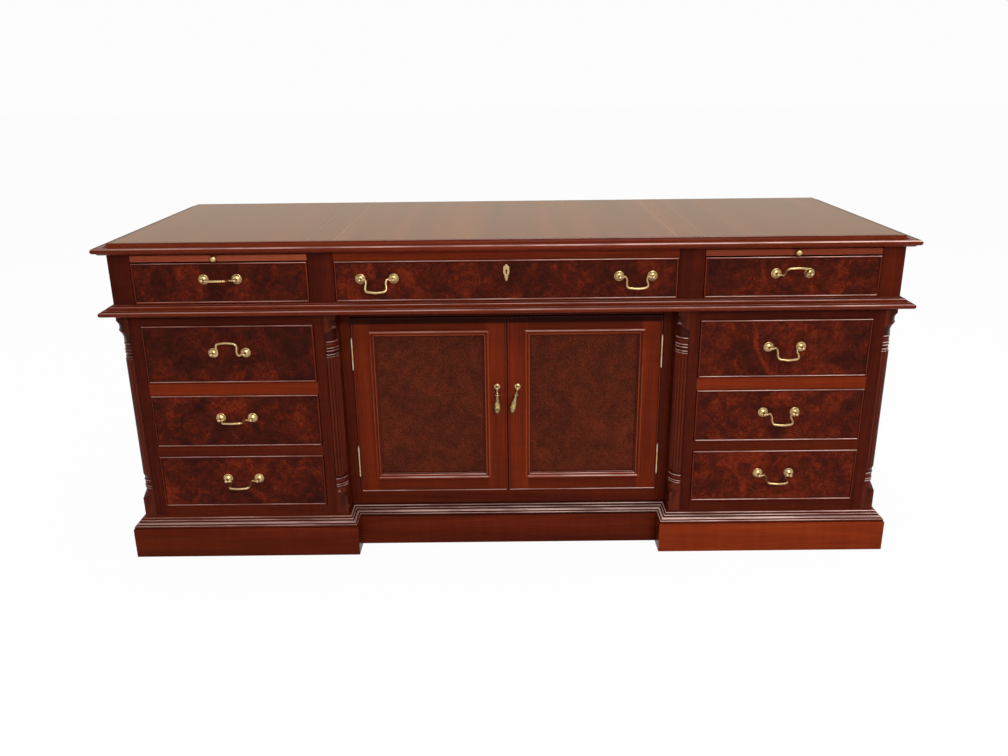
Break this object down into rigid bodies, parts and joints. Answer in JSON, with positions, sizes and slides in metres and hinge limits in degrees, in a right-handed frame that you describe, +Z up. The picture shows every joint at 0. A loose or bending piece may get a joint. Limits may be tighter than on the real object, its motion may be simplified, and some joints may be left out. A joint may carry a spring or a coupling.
{
  "type": "breakfront pedestal desk",
  "caption": "Breakfront mahogany desk with frieze drawers, writing slides, two drawer pedestals and a panelled cupboard between them.",
  "frame": {"origin": "on the floor, in the middle of the desk's footprint with its handles", "axes": "+X to the right seen from the front, +Y to the back, +Z up; the drawers open towards -Y"},
  "size_m": [1.856, 0.7279, 0.78],
  "materials": {
    "top_mahogany": "polished, with fine line inlay",
    "carcass_mahogany": "gloss",
    "burr_veneer": "gloss, burr figure",
    "slide_mahogany": "gloss",
    "inside_wood": "satin",
    "handle_brass": "antique",
    "hinge_brass": "antique"
  },
  "bodies": {
    "desk": {"desktop": "top_mahogany", "frieze_case": "carcass_mahogany", "waist_moulding": "carcass_mahogany", "left_pedestal_case": "carcass_mahogany", "right_pedestal_case": "carcass_mahogany", "corner_columns": "carcass_mahogany", "cupboard_case": "carcass_mahogany", "cupboard_shelf": "inside_wood", "plinth_base": "carcass_mahogany", "door_hinge_leaves": "hinge_brass"},
    "left_slide": {"left_writing_slide": "slide_mahogany", "left_slide_knob": "handle_brass"},
    "right_slide": {"right_writing_slide": "slide_mahogany", "right_slide_knob": "handle_brass"},
    "left_frieze_drawer": {"left_frieze_drawer_front": "burr_veneer", "left_frieze_drawer_box": "inside_wood", "left_frieze_drawer_pulls": "handle_brass"},
    "long_drawer": {"long_drawer_front": "burr_veneer", "long_drawer_box": "inside_wood", "long_drawer_pulls": "handle_brass", "long_drawer_lock": "handle_brass"},
    "right_frieze_drawer": {"right_frieze_drawer_front": "burr_veneer", "right_frieze_drawer_box": "inside_wood", "right_frieze_drawer_pulls": "handle_brass"},
    "left_top_drawer": {"left_top_drawer_front": "burr_veneer", "left_top_drawer_box": "inside_wood", "left_top_drawer_pulls": "handle_brass"},
    "left_middle_drawer": {"left_middle_drawer_front": "burr_veneer", "left_middle_drawer_box": "inside_wood", "left_middle_drawer_pulls": "handle_brass"},
    "left_bottom_drawer": {"left_bottom_drawer_front": "burr_veneer", "left_bottom_drawer_box": "inside_wood", "left_bottom_drawer_pulls": "handle_brass"},
    "right_top_drawer": {"right_top_drawer_front": "burr_veneer", "right_top_drawer_box": "inside_wood", "right_top_drawer_pulls": "handle_brass"},
    "right_middle_drawer": {"right_middle_drawer_front": "burr_veneer", "right_middle_drawer_box": "inside_wood", "right_middle_drawer_pulls": "handle_brass"},
    "right_bottom_drawer": {"right_bottom_drawer_front": "burr_veneer", "right_bottom_drawer_box": "inside_wood", "right_bottom_drawer_pulls": "handle_brass"},
    "left_frieze_drawer_bail": {"left_frieze_drawer_bail": "handle_brass"},
    "right_frieze_drawer_bail": {"right_frieze_drawer_bail": "handle_brass"},
    "long_drawer_left_bail": {"long_drawer_left_bail": "handle_brass"},
    "long_drawer_right_bail": {"long_drawer_right_bail": "handle_brass"},
    "left_top_drawer_bail": {"left_top_drawer_bail": "handle_brass"},
    "left_middle_drawer_bail": {"left_middle_drawer_bail": "handle_brass"},
    "left_bottom_drawer_bail": {"left_bottom_drawer_bail": "handle_brass"},
    "right_top_drawer_bail": {"right_top_drawer_bail": "handle_brass"},
    "right_middle_drawer_bail": {"right_middle_drawer_bail": "handle_brass"},
    "right_bottom_drawer_bail": {"right_bottom_drawer_bail": "handle_brass"},
    "left_door": {"left_door_frame": "carcass_mahogany", "left_door_panel": "burr_veneer", "left_door_brass": "hinge_brass"},
    "right_door": {"right_door_frame": "carcass_mahogany", "right_door_panel": "burr_veneer", "right_door_brass": "hinge_brass"},
    "left_drop": {"left_door_drop": "handle_brass"},
    "right_drop": {"right_door_drop": "handle_brass"}
  },
  "joints": [
    {"name": "left_slide_run", "type": "slide", "parent": "desk", "child": "left_slide", "axis": [0, -1, 0], "range_m": [0, 0.3]},
    {"name": "right_slide_run", "type": "slide", "parent": "desk", "child": "right_slide", "axis": [0, -1, 0], "range_m": [0, 0.3]},
    {"name": "left_frieze_drawer_run", "type": "slide", "parent": "desk", "child": "left_frieze_drawer", "axis": [0, -1, 0], "range_m": [0, 0.4]},
    {"name": "long_drawer_run", "type": "slide", "parent": "desk", "child": "long_drawer", "axis": [0, -1, 0], "range_m": [0, 0.35]},
    {"name": "right_frieze_drawer_run", "type": "slide", "parent": "desk", "child": "right_frieze_drawer", "axis": [0, -1, 0], "range_m": [0, 0.4]},
    {"name": "left_top_drawer_run", "type": "slide", "parent": "desk", "child": "left_top_drawer", "axis": [0, -1, 0], "range_m": [0, 0.4]},
    {"name": "left_middle_drawer_run", "type": "slide", "parent": "desk", "child": "left_middle_drawer", "axis": [0, -1, 0], "range_m": [0, 0.4]},
    {"name": "left_bottom_drawer_run", "type": "slide", "parent": "desk", "child": "left_bottom_drawer", "axis": [0, -1, 0], "range_m": [0, 0.4]},
    {"name": "right_top_drawer_run", "type": "slide", "parent": "desk", "child": "right_top_drawer", "axis": [0, -1, 0], "range_m": [0, 0.4]},
    {"name": "right_middle_drawer_run", "type": "slide", "parent": "desk", "child": "right_middle_drawer", "axis": [0, -1, 0], "range_m": [0, 0.4]},
    {"name": "right_bottom_drawer_run", "type": "slide", "parent": "desk", "child": "right_bottom_drawer", "axis": [0, -1, 0], "range_m": [0, 0.4]},
    {"name": "left_frieze_drawer_bail_swing", "type": "hinge", "parent": "left_frieze_drawer", "child": "left_frieze_drawer_bail", "pos_m": [-0.6495, -0.338, 0.696], "axis": [-1, 0, 0], "range_deg": [-125, 105]},
    {"name": "right_frieze_drawer_bail_swing", "type": "hinge", "parent": "right_frieze_drawer", "child": "right_frieze_drawer_bail", "pos_m": [0.6495, -0.338, 0.696], "axis": [-1, 0, 0], "range_deg": [-156, 74]},
    {"name": "long_drawer_left_bail_swing", "type": "hinge", "parent": "long_drawer", "child": "long_drawer_left_bail", "pos_m": [-0.2937, -0.338, 0.6935], "axis": [-1, 0, 0], "range_deg": [-56, 174]},
    {"name": "long_drawer_right_bail_swing", "type": "hinge", "parent": "long_drawer", "child": "long_drawer_right_bail", "pos_m": [0.2937, -0.338, 0.6935], "axis": [-1, 0, 0], "range_deg": [-70, 160]},
    {"name": "left_top_drawer_bail_swing", "type": "hinge", "parent": "left_top_drawer", "child": "left_top_drawer_bail", "pos_m": [-0.647, -0.338, 0.522], "axis": [-1, 0, 0], "range_deg": [-197, 33]},
    {"name": "left_middle_drawer_bail_swing", "type": "hinge", "parent": "left_middle_drawer", "child": "left_middle_drawer_bail", "pos_m": [-0.647, -0.338, 0.3595], "axis": [-1, 0, 0], "range_deg": [-121, 109]},
    {"name": "left_bottom_drawer_bail_swing", "type": "hinge", "parent": "left_bottom_drawer", "child": "left_bottom_drawer_bail", "pos_m": [-0.647, -0.338, 0.201], "axis": [-1, 0, 0], "range_deg": [-102, 128]},
    {"name": "right_top_drawer_bail_swing", "type": "hinge", "parent": "right_top_drawer", "child": "right_top_drawer_bail", "pos_m": [0.647, -0.338, 0.522], "axis": [-1, 0, 0], "range_deg": [-70, 160]},
    {"name": "right_middle_drawer_bail_swing", "type": "hinge", "parent": "right_middle_drawer", "child": "right_middle_drawer_bail", "pos_m": [0.647, -0.338, 0.3595], "axis": [-1, 0, 0], "range_deg": [-77, 153]},
    {"name": "right_bottom_drawer_bail_swing", "type": "hinge", "parent": "right_bottom_drawer", "child": "right_bottom_drawer_bail", "pos_m": [0.647, -0.338, 0.201], "axis": [-1, 0, 0], "range_deg": [-98, 132]},
    {"name": "left_door_swing", "type": "hinge", "parent": "desk", "child": "left_door", "pos_m": [-0.3715, -0.264, 0.35], "axis": [0, 0, -1], "range_deg": [0, 95]},
    {"name": "right_door_swing", "type": "hinge", "parent": "desk", "child": "right_door", "pos_m": [0.3715, -0.264, 0.35], "axis": [0, 0, 1], "range_deg": [0, 95]},
    {"name": "left_drop_swing", "type": "hinge", "parent": "left_door", "child": "left_drop", "pos_m": [-0.0247, -0.276, 0.411], "axis": [-1, 0, 0], "range_deg": [-3, 85]},
    {"name": "right_drop_swing", "type": "hinge", "parent": "right_door", "child": "right_drop", "pos_m": [0.0247, -0.276, 0.411], "axis": [-0.9759, 0, 0.2181], "range_deg": [-3, 85]}
  ]
}
